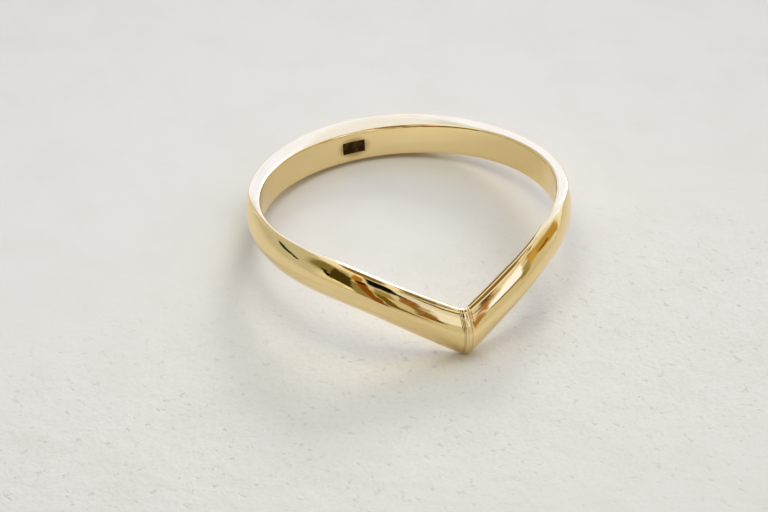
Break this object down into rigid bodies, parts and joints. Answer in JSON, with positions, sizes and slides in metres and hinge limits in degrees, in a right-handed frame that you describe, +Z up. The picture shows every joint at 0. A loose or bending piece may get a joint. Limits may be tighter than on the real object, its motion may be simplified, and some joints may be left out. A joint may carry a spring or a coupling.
{
  "type": "chevron finger ring",
  "caption": "Plain polished gold V ring in one piece, domed outside, with its point down and the back of the band on the table.",
  "frame": {"origin": "bottom centre of the bounding box, on the table the ring lies on", "axes": "+Z up from the table; -Y towards the point of the V; the two sides of X = 0 are alike but for the flat rim, which reaches further forward on +X, and the pad; the finger hole leans 12.5 degrees from +Z towards +Y"},
  "size_m": [0.0188, 0.021, 0.0048],
  "materials": {
    "gold": "polished yellow gold"
  },
  "bodies": {
    "root": {"band": "gold"}
  },
  "joints": []
}
